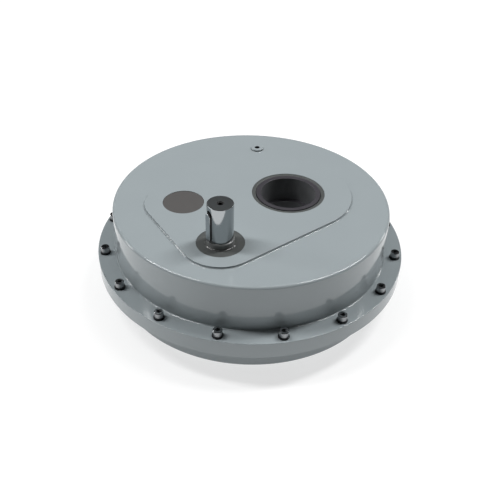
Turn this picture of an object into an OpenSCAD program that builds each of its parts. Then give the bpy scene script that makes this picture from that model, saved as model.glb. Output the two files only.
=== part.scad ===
// Shaft-mounted two-stage gear reducer with a round flanged housing.
// The axes stand along +Z. The origin is on the housing's centre line, at the underside of the
// base platform. +X runs from the intermediate axis to the output axis.

/* [Housing] */
// Free space between the gears and the case wall
case_gap = 4; // [3:0.25:8]
// Thickness of the drum's wall and of both end walls
wall = 8; // [6:0.5:9]
// Thickness of the lower case's side wall
low_wall = 8.9; // [7:0.1:11]
// Width of the flange outside the drum
flange_w = 20.4; // [19:0.2:24]
// Thickness of the upper housing's flange
flange_up_t = 10; // [9:0.5:14]
// Thickness of the lower housing's flange
flange_low_t = 9; // [9:0.5:13]
// How much the drum's radius loses to draft by its rim
drum_draft = 0.7; // [0.1:0.1:2]
// Rounding of the drum's rim
rim_fillet = 3; // [1:0.5:6]
// Rounding where the drum meets the flange
foot_fillet = 1.6; // [0.5:0.1:3]
// Depth of the lower case below the flange
low_h = 32.5; // [30:0.5:40]
// Height of the machined platforms round the three axes
platform_h = 2.5; // [1:0.25:5]
// Thickness of the boss wall round a bearing
boss_wall = 7.5; // [6:0.5:9]
// Width of the platform outside the output bearing's boss
out_pad = 14; // [10:0.5:16]
// Width of the platform outside the intermediate bearing's boss
mid_pad = 13; // [8:0.5:15]
// Width of the platform outside the input bearing's boss
in_pad = 7; // [5:0.5:10]
// Thickness of the case under the blind bearing pockets
pocket_floor = 6; // [4:0.25:8]
// Thickness of the inner ribs
rib_t = 7; // [4:0.5:10]
// Height of the inner ribs above the end walls
rib_h = 7; // [4:0.5:8]
// Small chamfer on machined edges
edge = 0.6; // [0.3:0.1:1]

/* [Flange screws] */
// Number of flange screws
screw_count = 16; // [12:1:20]
// Distance from the flange's edge to the circle of flange screws
screw_edge = 8.5; // [7.5:0.25:10]
// Thread diameter of the flange screws
screw_d = 6; // [5:0.5:7]
// Length of the flange screws under the head
screw_len = 20; // [17:1:21]
// Thickness of the spring washers
spring_washer_t = 1.6; // [1.2:0.1:2]
// Thickness of the flat washers
flat_washer_t = 1; // [0.8:0.1:1.6]

/* [Gears] */
// Pressure angle of all the gears
pressure = 20; // [20:0.5:22]
// Free play between meshed teeth, along the pitch circle
backlash = 0.3; // [0.2:0.05:0.5]
// Module of the input stage
m1 = 2; // [1.9:0.05:2]
// Teeth on the input pinion
z_input = 21; // [19:1:21]
// Teeth on the intermediate wheel
z_wheel1 = 67; // [64:1:68]
// Face width of the intermediate wheel
face1 = 20; // [16:1:22]
// Module of the output stage
m2 = 3; // [2.9:0.05:3]
// Teeth on the intermediate pinion
z_pinion2 = 17; // [17:1:18]
// Teeth on the output wheel
z_output = 65; // [62:1:66]
// Face width of the output wheel
face2 = 30; // [26:1:32]
// How far each pinion is wider than its wheel, in all
pinion_extra = 4; // [2:0.5:4]
// Gap along the intermediate shaft between its pinion and its wheel
stage_gap = 2; // [1:0.25:6]
// Direction from the intermediate axis to the input axis
input_dir = -70.8; // [-75:0.2:-67]
// Distance of the output axis to the right of the centre line
output_x = 44.5; // [42:0.5:46]
// Distance of the output and intermediate axes behind the centre line
output_y = 3.5; // [0:0.5:6]

/* [Input shaft] */
// Diameter of the shaft end
input_d = 28; // [25:0.5:29]
// Length of the shaft end
input_len = 42.2; // [36:0.2:60]
// Chamfer on the shaft's end
input_chamfer = 0.4; // [0.2:0.1:1.5]
// Height of the shaft's collar above the platform
collar_h = 7; // [4:0.5:10]
// Width of the input key
input_key_w = 8; // [6:0.5:10]
// Height of the input key, a low one
input_key_h = 5; // [4:0.5:7]
// Distance from the shaft's end to its keyway
keyway_set = 4.5; // [4:0.5:12]
// Rounding on the edge of the input shaft's collar
collar_round = 1.2; // [0.5:0.1:1.6]
// Direction in which the input key points
input_key_dir = -155.5; // [-180:0.5:180]
// Diameter of the threaded centre hole in the shaft's end
centre_hole_d = 5; // [4:0.5:8]
// Depth of the centre hole
centre_hole_len = 12; // [8:1:20]

/* [Output shaft] */
// Diameter of the hollow shaft's main bore
bore_d = 55; // [50:0.5:56]
// Diameter of the counterbore at the hollow shaft's outer end
counterbore_d = 65; // [64:0.5:67]
// Depth of the counterbore
counterbore_len = 30; // [20:1:40]
// Width of the bore's keyway
bore_key_w = 16; // [12:0.5:18]
// Depth of the bore's keyway
bore_key_t = 4.3; // [3:0.1:5]
// Diameter of the output wheel's seat
seat_d = 80; // [78:0.5:82]

/* [Bearings and seals] */
// Bore of the output bearings
out_brg_bore = 75; // [74:0.5:77]
// Thickness of the output bearings, from bore to outside
out_brg_t = 15; // [14:0.5:17.5]
// Width of the output bearings
out_brg_w = 16; // [14:0.5:18]
// Bore of the upper input bearing and diameter of the input collar
in_brg_bore = 30; // [30:0.5:31]
// Thickness of the upper input bearing, from bore to outside
in_brg_t = 12.5; // [12:0.5:15]
// Width of the upper input bearing
in_brg_w = 13; // [12:0.5:15]
// Bore of the small bearings
mid_brg_bore = 20; // [18:0.5:21]
// Thickness of the small bearings, from bore to outside
mid_brg_t = 13.5; // [13:0.25:15]
// Width of the small bearings
mid_brg_w = 14; // [12:0.5:15]
// Thickness of the output seals, from shaft to bore
out_seal_t = 5; // [4.5:0.25:6.5]
// Thickness of the input seal, from shaft to bore
in_seal_t = 11; // [10:0.25:11.5]
// Width of all the seals
seal_w = 7; // [5:0.5:7]
// How deep the seals and the cap sit below the machined face
seal_set = 0.4; // [0.2:0.1:0.8]
// Gap between an output seal and its bearing
brg_gap = 0.6; // [0.3:0.1:3]
// Gap between the input seal and its bearing
in_brg_gap = 1.6; // [0.5:0.1:3]
// Thickness of the closing cap over the intermediate shaft
cap_t = 6; // [4:0.5:6]
// Thickness of the circlip under the cap
circlip_t = 1.75; // [1.2:0.05:1.8]
// Gap between the circlip and the cap
cap_gap = 0.85; // [0.2:0.05:2]

/* [Plugs and mounting] */
// Thickness of the filler plug's flange
filler_flange_t = 1.2; // [1:0.1:2.5]
// Distance of the filler plug from the inside of the drum's wall
filler_in = 31.6; // [20:0.2:34]
// Direction of the filler plug
filler_dir = 75.1; // [60:0.1:90]
// Thread diameter of the filler plug
filler_d = 10; // [8:0.5:12]
// Thread diameter of the drain and level plugs
drain_d = 16; // [12:0.5:18]
// Distance of the drain and level plugs from the inside of the case wall
drain_in = 21.5; // [18:0.5:26]
// Distance from the output bearing's bore to the circle of tapped mounting holes
mount_out = 11.5; // [10:0.5:13]
// Thread diameter of the mounting holes
mount_d = 10; // [8:0.5:10]
// Number of mounting holes
mount_count = 8; // [6:1:10]
// Depth of the mounting holes
mount_depth = 18; // [12:1:20]

/* [Hidden] */
$fn = 96;

paint = [0.56, 0.60, 0.62];
steel = [0.66, 0.67, 0.68];
gear_steel = [0.55, 0.56, 0.58];
dark_steel = [0.16, 0.16, 0.17];
rubber = [0.22, 0.22, 0.22];
cage_steel = [0.72, 0.68, 0.58];

// Clearances
eps = 0.1; // how far a cutter runs past a face
fit = 0.02; // slip fit of keys, spacers, screws in their threads
lip_gap = 0.05; // seal lip to shaft
ball_gap = 0.15; // ball to raceway and to cage
screw_play = 0.3; // screw shank to its through hole
shaft_end_gap = 1; // shaft end to the bottom of its pocket, and hollow shaft to the base plane
axial_gap = 3; // wheel to the nearest bearing boss

// Gear sizes and axes
function pitch_r(m, z) = m * z / 2;
function tip_r(m, z) = pitch_r(m, z) + m;
function root_r(m, z) = pitch_r(m, z) - 1.25 * m;
centre1 = pitch_r(m1, z_input) + pitch_r(m1, z_wheel1);
centre2 = pitch_r(m2, z_pinion2) + pitch_r(m2, z_output);
output_axis = [output_x, output_y];
mid_axis = output_axis - [centre2, 0];
input_axis = mid_axis + centre1 * [cos(input_dir), sin(input_dir)];

// Radii of the case, which is drawn round the gears
gear_reach = max(norm(mid_axis) + tip_r(m1, z_wheel1), norm(output_axis) + tip_r(m2, z_output));
cavity_r = gear_reach + case_gap;
drum_r = cavity_r + wall;
low_r = cavity_r + low_wall;
flange_r = drum_r + flange_w;
screw_circle_r = flange_r - screw_edge;

// Outer diameters of the bearings and seals
out_brg_od = out_brg_bore + 2 * out_brg_t;
in_brg_od = in_brg_bore + 2 * in_brg_t;
mid_brg_od = mid_brg_bore + 2 * mid_brg_t;
out_seal_od = out_brg_bore + 2 * out_seal_t;
in_seal_od = in_brg_bore + 2 * in_seal_t;

// Depths of the bearings below their machined faces
brg_set = seal_set + seal_w + brg_gap;
in_brg_set = seal_set + seal_w + in_brg_gap;
mid_brg_set = seal_set + cap_t + cap_gap + circlip_t;

// Levels of the gears and of the case's top, stacked up from the lower output bearing
out_low_brg_z = brg_set;
wheel2_z = out_low_brg_z + out_brg_w + axial_gap;
pinion2_z = wheel2_z - pinion_extra / 2;
pinion2_top_z = wheel2_z + face2 + pinion_extra / 2;
pinion1_z = pinion2_top_z + stage_gap;
wheel1_z = pinion1_z + pinion_extra / 2;
wheel1_top_z = wheel1_z + face1;
pinion1_top_z = wheel1_top_z + pinion_extra / 2;
top_z = pinion1_top_z + axial_gap
    + max(out_brg_w + brg_set, mid_brg_w + mid_brg_set, in_brg_w + in_brg_set);
out_top_brg_z = top_z - brg_set - out_brg_w;
mid_top_brg_z = top_z - mid_brg_set - mid_brg_w;
in_top_brg_z = top_z - in_brg_set - in_brg_w;

// Levels of the case
low_face_z = platform_h;
flange_low_z = low_face_z + low_h;
split_z = flange_low_z + flange_low_t;
flange_top_z = split_z + flange_up_t;
drum_top_z = top_z - platform_h;
cavity_low_z = low_face_z + wall;
cavity_top_z = drum_top_z - wall;

// Shafts
circlip_open = 10; // width of the circlip's opening
small_brg_z = low_face_z + pocket_floor; // lower small bearings, on the floors of their pockets
input_shoulder = 3; // how far each shaft's shoulder stands over its lower bearing's bore
mid_shoulder = 4;
mid_seat_r = mid_brg_bore / 2 + 5;
mid_hub_wall = 10;
out_hub_wall = 16;
collar_r = in_brg_bore / 2;
collar_top_z = top_z + collar_h;
input_top_z = collar_top_z + input_len;
out_collar_r = seat_d / 2 + 6;
out_collar_w = 6;

// Keys
function key_sunk(h) = 0.57 * h; // how deep a key of height h sits in its shaft
low_key_share = 0.62; // the same share for a low key
mid_key_w = 8;
mid_key_h = 7;
out_key_w = 20;
out_key_h = 9;

// Flange screws
head_d = screw_d + 4;
screw_seat_z = flange_top_z + flat_washer_t + spring_washer_t;
hole_r = screw_d / 2 + screw_play;
o_ring_d = 3;
o_ring_r = (cavity_r + screw_circle_r - hole_r) / 2 + 1.5;
o_ring_groove = 2.5;
dowel_d = 6;
dowel_len = 12;

// Plugs
filler_pos = (cavity_r - filler_in) * [cos(filler_dir), sin(filler_dir)];
plug_washer_t = 1;
drain_len = 11;
drain_dirs = [-78, 155];
drain_r = cavity_r - drain_in;
mount_pcd = out_brg_od + 2 * mount_out;

// ---------- helpers ----------

function polar(r, a) = r * [cos(a), sin(a)];
function arc(c, r, a0, a1, n = 8) = [for (i = [0:n]) c + polar(r, a0 + (a1 - a0) * i / n)];

module at(p, z = 0) {
    translate([p.x, p.y, z]) children();
}

module ring(r_in, r_out, h) {
    difference() {
        cylinder(r = r_out, h = h);
        translate([0, 0, -eps]) cylinder(r = r_in, h = h + 2 * eps);
    }
}

// A turned piece: each section is [radius, bottom, top], from the lowest one up.
module turned(sections, chamfer = 0) {
    first = sections[0];
    last = sections[len(sections) - 1];
    rotate_extrude()
        polygon(concat(
            [[0, first[1]], [first[0] - chamfer, first[1]], [first[0], first[1] + chamfer]],
            [for (i = [0:len(sections) - 2]) each [
                [sections[i][0], sections[i][2]],
                [sections[i + 1][0], sections[i + 1][1]]
            ]],
            [[last[0], last[2] - chamfer], [last[0] - chamfer, last[2]], [0, last[2]]]
        ));
}

// A cutter for a chamfer on the upper edge of a hole of radius r; mirrored by a negative depth.
module countersink(r, c) {
    mirror([0, 0, c < 0 ? 1 : 0])
        translate([0, 0, -abs(c)]) cylinder(r1 = r, r2 = r + abs(c) + eps, h = abs(c) + eps);
}

module hex_socket(across, depth) {
    translate([0, 0, -depth]) cylinder(r = across / sqrt(3), h = depth + eps, $fn = 6);
}

// ---------- gears ----------

function inv(a) = tan(a) * 180 / PI - a;
function base_r(m, z) = pitch_r(m, z) * cos(pressure);

// Half the angle that a tooth fills at radius r.
function half_tooth(m, z, r) =
    (PI * m - backlash) / (4 * pitch_r(m, z)) * 180 / PI
    + inv(pressure) - inv(acos(min(1, base_r(m, z) / r)));

// Radii down one flank, from the tip to the root.
function flank_radii(m, z, n = 3) =
    let (low = max(root_r(m, z), base_r(m, z)))
    concat(
        [for (i = [0:n]) tip_r(m, z) + (low - tip_r(m, z)) * i / n],
        root_r(m, z) < low ? [root_r(m, z)] : []
    );

function tooth(m, z, middle) =
    let (radii = flank_radii(m, z), last = len(radii) - 1)
    concat(
        [for (i = [last:-1:0]) polar(radii[i], middle - half_tooth(m, z, max(radii[i], base_r(m, z))))],
        [for (i = [0:last]) polar(radii[i], middle + half_tooth(m, z, max(radii[i], base_r(m, z))))]
    );

// A straight-cut involute gear whose tooth number 0 points along the angle phase.
module teeth(m, z, width, phase) {
    linear_extrude(width)
        polygon([for (i = [0:z - 1]) each tooth(m, z, phase + 360 * i / z)]);
}

// A gear wheel with a rim, a drilled web and a hub of its own length.
module wheel(m, z, width, phase, hub_r, bore_r, hub_low, hub_high) {
    rim_r = root_r(m, z) - 3 * m;
    web_t = width * 0.45;
    hole_circle_r = (rim_r + hub_r) / 2;
    difference() {
        union() {
            teeth(m, z, width, phase);
            translate([0, 0, -hub_low]) cylinder(r = hub_r, h = width + hub_low + hub_high);
        }
        for (side = [-eps, (width + web_t) / 2])
            translate([0, 0, side]) ring(hub_r, rim_r, (width - web_t) / 2 + eps);
        for (i = [0:5])
            rotate(30 + 60 * i) translate([hole_circle_r, 0, -eps])
                cylinder(r = (rim_r - hub_r) * 0.28, h = width + 2 * eps);
        translate([0, 0, -hub_low - eps]) cylinder(r = bore_r, h = width + hub_low + hub_high + 2 * eps);
    }
}

// ---------- keys ----------

// A key along the axis, pointing along +X, with its middle at radius mid_r: square at the top and,
// where asked, round at the bottom.
module key_body(w, r_in, r_out, low, high, round_low = false, round_high = false) {
    flat_low = round_low ? low + w / 2 : low;
    flat_high = round_high ? high - w / 2 : high;
    translate([r_in, -w / 2, flat_low]) cube([r_out - r_in, w, flat_high - flat_low]);
    if (round_low) translate([r_in, 0, flat_low]) rotate([0, 90, 0]) cylinder(r = w / 2, h = r_out - r_in);
    if (round_high) translate([r_in, 0, flat_high]) rotate([0, 90, 0]) cylinder(r = w / 2, h = r_out - r_in);
}

// ---------- bearings ----------

// Every size of a deep-groove bearing follows from its bore, outer diameter and width.
function section(b) = (b[1] - b[0]) / 2;
function ball_r(b) = 0.3 * section(b);
function ball_circle_r(b) = (b[0] + b[1]) / 4;
function ball_count(b) = floor(2 * PI * ball_circle_r(b) / (3.2 * ball_r(b)));
function land(b) = 0.29 * section(b);

out_brg = [out_brg_bore, out_brg_od, out_brg_w];
in_brg = [in_brg_bore, in_brg_od, in_brg_w];
small_brg = [mid_brg_bore, mid_brg_od, mid_brg_w];

module race(b, r_in, r_out) {
    rotate_extrude()
        difference() {
            translate([r_in, 0]) square([r_out - r_in, b[2]]);
            translate([ball_circle_r(b), b[2] / 2]) circle(r = ball_r(b) + ball_gap);
        }
}

module outer_ring(b, p, z) {
    color(steel) at(p, z) race(b, b[1] / 2 - land(b), b[1] / 2);
}

module inner_ring(b, p, z) {
    color(steel) at(p, z) race(b, b[0] / 2, b[0] / 2 + land(b));
}

module each_ball(b, r) {
    for (i = [0:ball_count(b) - 1])
        rotate(360 * i / ball_count(b)) translate([r, 0, b[2] / 2]) children();
}

module balls(b, p, z) {
    color(steel) at(p, z) each_ball(b, ball_circle_r(b)) sphere(r = ball_r(b));
}

// A machined cage: one band with a round pocket drilled through it for each ball.
module cage(b, p, z) {
    t = 0.2 * section(b);
    color(cage_steel) at(p, z) difference() {
        translate([0, 0, 0.1 * b[2]]) ring(ball_circle_r(b) - t / 2, ball_circle_r(b) + t / 2, 0.8 * b[2]);
        each_ball(b, ball_circle_r(b) - t) rotate([0, 90, 0]) cylinder(r = ball_r(b) + ball_gap, h = 2 * t);
    }
}

// ---------- seals ----------

// A rubber shaft seal, face up: an outer sleeve, a front web and a lip that leans in to the shaft.
module shaft_seal(shaft_r, od) {
    r = od / 2;
    s = (r - shaft_r) * 0.22;
    face_gap = min(0.9, (r - shaft_r) * 0.12);
    rotate_extrude()
        polygon([
            [r, 0], [r, seal_w], [shaft_r + face_gap, seal_w], [shaft_r + face_gap, seal_w - 1.2],
            [shaft_r + 1.2 * s, seal_w - 2.4], [shaft_r + lip_gap, 0.45 * seal_w],
            [shaft_r + lip_gap, 0.45 * seal_w - 0.4], [shaft_r + 1.8 * s, 0.2 * seal_w],
            [shaft_r + 2.2 * s, 0.45 * seal_w], [shaft_r + 2.6 * s, seal_w - 2.4],
            [r - s, seal_w - 2.4], [r - s, 0]
        ]);
}

// ---------- housing ----------

platform_circles = [
    [output_axis, out_brg_od / 2 + boss_wall + out_pad],
    [mid_axis, mid_brg_od / 2 + boss_wall + mid_pad],
    [input_axis, in_brg_od / 2 + boss_wall + in_pad]
];

// The two end points of the line along the right side of the way from circle a to circle b. It
// runs a hair inside the true tangent, so that it meets each circle at a clean corner.
tangent_inset = 0.03;
function tangent(a, b) =
    let (d = b[0] - a[0], n = atan2(d.y, d.x) - acos((a[1] - b[1]) / norm(d)))
    [a[0] + polar(a[1] - tangent_inset, n), b[0] + polar(b[1] - tangent_inset, n)];

// The outline of the machined platform: a triangle with a round corner about each axis.
module platform() {
    linear_extrude(platform_h + 1)
        union() {
            for (c = platform_circles) translate(c[0]) circle(r = c[1]);
            polygon([for (i = [0:2]) each tangent(platform_circles[i], platform_circles[(i + 1) % 3])]);
        }
}

module rib(a, b, low, high) {
    d = b - a;
    at(a, low) rotate(atan2(d.y, d.x)) translate([0, -rib_t / 2, 0]) cube([norm(d), rib_t, high - low]);
}

// Ribs join the three bearing bosses to each other and to the wall.
module ribs(low, high) {
    axes = [output_axis, mid_axis, input_axis];
    for (i = [0:2]) {
        rib(axes[i], axes[(i + 1) % 3], low, high);
        rib(axes[i], polar(cavity_r + 1, atan2(axes[i].y, axes[i].x)), low, high);
    }
}

module screw_holes(r, low, high) {
    for (i = [0:screw_count - 1])
        rotate(360 * i / screw_count) translate([screw_circle_r, 0, low]) cylinder(r = r, h = high - low);
}

module at_dowels() {
    for (i = [0, floor(screw_count / 2)])
        rotate(360 * (i + 0.5) / screw_count) translate([screw_circle_r, 0, 0]) children();
}

module upper_case_shell() {
    rim_r = drum_r - drum_draft;
    rotate_extrude()
        polygon(concat(
            [[cavity_r, split_z], [flange_r, split_z], [flange_r, flange_top_z - edge],
             [flange_r - edge, flange_top_z]],
            arc([drum_r + foot_fillet, flange_top_z + foot_fillet], foot_fillet, -90, -180),
            arc([rim_r - rim_fillet, drum_top_z - rim_fillet], rim_fillet, 0, 90),
            [[0, drum_top_z], [0, cavity_top_z]],
            arc([cavity_r - 2, cavity_top_z - 2], 2, 90, 0, 3)
        ));
}

module upper_case() {
    color(paint) difference() {
        union() {
            upper_case_shell();
            translate([0, 0, drum_top_z - 1]) platform();
            at(output_axis, out_top_brg_z)
                cylinder(r = out_brg_od / 2 + boss_wall, h = drum_top_z - out_top_brg_z - 1);
            at(mid_axis, mid_top_brg_z)
                cylinder(r = mid_brg_od / 2 + boss_wall, h = drum_top_z - mid_top_brg_z - 1);
            at(input_axis, in_top_brg_z)
                cylinder(r = in_brg_od / 2 + boss_wall, h = drum_top_z - in_top_brg_z - 1);
            ribs(cavity_top_z - rib_h, cavity_top_z + 1);
            at(filler_pos, cavity_top_z - 4) cylinder(r = filler_d / 2 + 6, h = wall);
        }
        // Output bore: bearing seat from inside, seal seat from outside
        at(output_axis, out_top_brg_z - eps) cylinder(r = out_brg_od / 2, h = out_brg_w + eps);
        at(output_axis, out_top_brg_z) cylinder(r = out_seal_od / 2, h = top_z - out_top_brg_z + eps);
        at(output_axis, top_z) countersink(out_seal_od / 2, edge);
        // Intermediate bore: one diameter for the bearing, its circlip and the cap
        at(mid_axis, mid_top_brg_z - eps) cylinder(r = mid_brg_od / 2, h = top_z - mid_top_brg_z + 2 * eps);
        at(mid_axis, mid_top_brg_z + mid_brg_w) cylinder(r = mid_brg_od / 2 + 1.2, h = circlip_t + fit);
        // Input bore
        at(input_axis, in_top_brg_z - eps) cylinder(r = in_brg_od / 2, h = in_brg_w + eps);
        at(input_axis, in_top_brg_z) cylinder(r = in_seal_od / 2, h = top_z - in_top_brg_z + eps);
        at(input_axis, top_z) countersink(in_seal_od / 2, edge);
        // Filler hole, flange holes and dowel holes
        at(filler_pos, cavity_top_z - 4 - eps) cylinder(r = filler_d / 2 + fit, h = wall + 4 + 2 * eps);
        screw_holes(hole_r, split_z - eps, flange_top_z + eps);
        at_dowels() translate([0, 0, split_z - eps]) cylinder(r = dowel_d / 2, h = dowel_len / 2 + 0.5);
    }
}

module lower_case_shell() {
    rotate_extrude()
        polygon(concat(
            [[0, low_face_z]],
            arc([low_r - rim_fillet, low_face_z + rim_fillet], rim_fillet, -90, 0),
            arc([low_r + foot_fillet, flange_low_z - foot_fillet], foot_fillet, 180, 90),
            [[flange_r - edge, flange_low_z], [flange_r, flange_low_z + edge], [flange_r, split_z],
             [cavity_r, split_z]],
            arc([cavity_r - 2, cavity_low_z + 2], 2, 0, -90, 3),
            [[0, cavity_low_z]]
        ));
}

module lower_case() {
    small_boss_r = mid_brg_od / 2 + boss_wall;
    out_boss_r = mount_pcd / 2 + mount_d / 2 + 4;
    boss_low_z = low_face_z + 1;
    color(paint) difference() {
        union() {
            lower_case_shell();
            platform();
            at(output_axis, boss_low_z) cylinder(r = out_boss_r, h = out_low_brg_z + out_brg_w - boss_low_z);
            for (p = [mid_axis, input_axis])
                at(p, boss_low_z) cylinder(r = small_boss_r, h = small_brg_z + mid_brg_w - boss_low_z);
            ribs(cavity_low_z - 1, cavity_low_z + rib_h);
            for (a = drain_dirs)
                at(polar(drain_r, a), boss_low_z) cylinder(r = drain_d / 2 + 5, h = drain_len + 2 - 1);
        }
        // Output bore: seal seat from outside, bearing seat from inside
        at(output_axis, -eps) cylinder(r = out_seal_od / 2, h = out_low_brg_z + out_brg_w);
        at(output_axis, 0) countersink(out_seal_od / 2, -edge);
        at(output_axis, out_low_brg_z) cylinder(r = out_brg_od / 2, h = out_brg_w + eps);
        // Blind pockets for the small bearings
        for (p = [mid_axis, input_axis]) at(p, small_brg_z) cylinder(r = mid_brg_od / 2, h = mid_brg_w + eps);
        // Tapped mounting holes in the output boss
        at(output_axis, -eps)
            for (i = [0:mount_count - 1])
                rotate(360 * (i + 0.5) / mount_count) translate([mount_pcd / 2, 0, 0])
                    cylinder(r = mount_d / 2, h = mount_depth + eps);
        // Drain and level holes
        for (a = drain_dirs)
            at(polar(drain_r, a), low_face_z - eps) cylinder(r = drain_d / 2 + fit, h = drain_len + 4);
        // Flange holes, dowel holes and the seal groove
        screw_holes(screw_d / 2 + fit, flange_low_z - eps, split_z + eps);
        at_dowels() translate([0, 0, split_z - dowel_len / 2 - 0.5]) cylinder(r = dowel_d / 2, h = dowel_len);
        translate([0, 0, split_z - o_ring_groove])
            ring(o_ring_r - o_ring_d * 0.65, o_ring_r + o_ring_d * 0.65, o_ring_groove + eps);
    }
}

// The rubber ring in the lower flange, squeezed flat between the two halves.
module case_o_ring() {
    color(rubber) translate([0, 0, split_z - o_ring_groove / 2]) rotate_extrude() intersection() {
        translate([o_ring_r, 0]) circle(r = o_ring_d / 2);
        translate([o_ring_r - o_ring_d, -o_ring_groove / 2]) square([2 * o_ring_d, o_ring_groove]);
    }
}

module case_dowels() {
    color(steel) at_dowels()
        translate([0, 0, split_z - dowel_len / 2]) cylinder(r = dowel_d / 2 - fit, h = dowel_len);
}

// ---------- fasteners and plugs ----------

module cap_screw() {
    head_h = screw_d;
    difference() {
        union() {
            translate([0, 0, -screw_len]) cylinder(r = screw_d / 2, h = screw_len + 1);
            cylinder(r = head_d / 2, h = head_h - 0.5);
            translate([0, 0, head_h - 0.5]) cylinder(r1 = head_d / 2, r2 = head_d / 2 - 0.5, h = 0.5);
        }
        translate([0, 0, head_h]) hex_socket(screw_d - 1, head_h / 2);
    }
}

module around_flange(z) {
    for (i = [0:screw_count - 1])
        rotate(360 * i / screw_count) translate([screw_circle_r, 0, z]) children();
}

module flange_screws() {
    color(dark_steel) around_flange(screw_seat_z) cap_screw();
}

// Split spring washers: the cut faces out.
module spring_washers() {
    color(dark_steel) around_flange(flange_top_z + flat_washer_t) difference() {
        ring(screw_d / 2 + 0.1, head_d / 2 + 0.5, spring_washer_t);
        rotate(20) translate([screw_d / 2 - 1, -0.5, -eps]) cube([head_d, 1, spring_washer_t + 2 * eps]);
    }
}

module flat_washers() {
    color(dark_steel) around_flange(flange_top_z) ring(screw_d / 2 + 0.2, head_d / 2 + 1, flat_washer_t);
}

module filler_plug() {
    color(paint) at(filler_pos, drum_top_z + plug_washer_t) difference() {
        union() {
            translate([0, 0, -plug_washer_t - wall]) cylinder(r = filler_d / 2, h = plug_washer_t + wall + 1);
            cylinder(r1 = filler_d / 2 + 3, r2 = filler_d / 2 + 2.4, h = filler_flange_t);
        }
        translate([0, 0, filler_flange_t]) hex_socket(filler_d * 0.6, 5);
    }
}

module filler_plug_washer() {
    color(rubber) at(filler_pos, drum_top_z) ring(filler_d / 2 + 0.1, filler_d / 2 + 2.6, plug_washer_t);
}

// A headless plug screwed flush into the lower case, with its socket facing down.
module flush_plug(a) {
    color(dark_steel) at(polar(drain_r, a), low_face_z) difference() {
        cylinder(r = drain_d / 2, h = drain_len);
        mirror([0, 0, 1]) hex_socket(drain_d / 2, 6);
    }
}

module drain_plug() {
    flush_plug(drain_dirs[0]);
}

module level_plug() {
    flush_plug(drain_dirs[1]);
}

// ---------- input shaft ----------

input_floor_r = input_d / 2 - low_key_share * input_key_h;
keyway_top_z = input_top_z - keyway_set;
collar_round_z = collar_top_z - collar_round; // where the collar's rounded edge starts
input_key_low_z = collar_top_z + 0.3;
input_key_top_z = keyway_top_z - input_key_w / 2 - 2 * fit; // the key stops where the keyway's end rounds

module input_pinion_shaft() {
    color(steel) at(input_axis) difference() {
        union() {
            turned([
                [mid_brg_bore / 2, small_brg_z + shaft_end_gap, small_brg_z + mid_brg_w],
                [mid_brg_bore / 2 + input_shoulder, small_brg_z + mid_brg_w, pinion1_z],
                [root_r(m1, z_input) - 0.5, pinion1_z, in_top_brg_z],
                [collar_r, in_top_brg_z, collar_round_z],
                [input_d / 2, collar_round_z, input_top_z]
            ], input_chamfer);
            rotate_extrude()
                polygon(concat(
                    [[0, collar_round_z]],
                    arc([collar_r - collar_round, collar_round_z], collar_round, 0, 90),
                    [[0, collar_top_z]]
                ));
            translate([0, 0, pinion1_z]) teeth(m1, z_input, pinion1_top_z - pinion1_z, input_dir + 180);
        }
        rotate(input_key_dir)
            key_body(input_key_w + 2 * fit, input_floor_r, input_d,
                     input_key_low_z - fit, keyway_top_z, true, true);
        translate([0, 0, input_top_z - centre_hole_len])
            cylinder(r = centre_hole_d / 2, h = centre_hole_len + eps);
        translate([0, 0, input_top_z]) countersink(centre_hole_d / 2, centre_hole_d * 0.24);
    }
}

module input_key() {
    color(gear_steel) at(input_axis) rotate(input_key_dir)
        key_body(input_key_w, input_floor_r, input_floor_r + input_key_h,
                 input_key_low_z, input_key_top_z, true, false);
}

module input_seal() {
    color(rubber) at(input_axis, top_z - seal_set - seal_w) shaft_seal(collar_r, in_seal_od);
}

// ---------- intermediate shaft ----------

mid_floor_r = mid_seat_r - key_sunk(mid_key_h);

module intermediate_pinion_shaft() {
    color(steel) at(mid_axis) difference() {
        union() {
            turned([
                [mid_brg_bore / 2, small_brg_z + shaft_end_gap, small_brg_z + mid_brg_w],
                [mid_brg_bore / 2 + mid_shoulder, small_brg_z + mid_brg_w, pinion2_z],
                [root_r(m2, z_pinion2) - 0.5, pinion2_z, pinion1_z],
                [mid_seat_r, pinion1_z, pinion1_top_z],
                [mid_brg_bore / 2, pinion1_top_z, mid_top_brg_z + mid_brg_w]
            ], 1);
            translate([0, 0, pinion2_z]) teeth(m2, z_pinion2, pinion2_top_z - pinion2_z, 0);
        }
        rotate(90)
            key_body(mid_key_w + 2 * fit, mid_floor_r, mid_seat_r + 2,
                     pinion1_z + 2, pinion1_top_z + 1, true);
    }
}

module intermediate_key() {
    color(gear_steel) at(mid_axis) rotate(90)
        key_body(mid_key_w, mid_floor_r, mid_floor_r + mid_key_h, pinion1_z + 2 + fit, pinion1_top_z, true);
}

module intermediate_wheel() {
    hub_low = wheel1_z - pinion1_z;
    color(gear_steel) at(mid_axis, wheel1_z) difference() {
        wheel(m1, z_wheel1, face1, input_dir + 180 / z_wheel1,
              mid_seat_r + mid_hub_wall, mid_seat_r + fit, hub_low, hub_low);
        rotate(90) translate([0, -mid_key_w / 2 - fit, -hub_low - eps])
            cube([mid_floor_r + mid_key_h + 0.2, mid_key_w + 2 * fit, face1 + 2 * hub_low + 2 * eps]);
    }
}

module intermediate_spacer() {
    color(steel) at(mid_axis, pinion1_top_z)
        ring(mid_brg_bore / 2 + fit, mid_seat_r + 3, mid_top_brg_z - pinion1_top_z);
}

// Inner circlip: an open ring that springs into its groove above the bearing.
module intermediate_circlip() {
    color(dark_steel) at(mid_axis, mid_top_brg_z + mid_brg_w) difference() {
        ring(mid_brg_od / 2 - 3, mid_brg_od / 2 + 1, circlip_t);
        rotate(90) translate([0, -circlip_open / 2, -eps])
            cube([mid_brg_od, circlip_open, circlip_t + 2 * eps]);
    }
}

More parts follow.
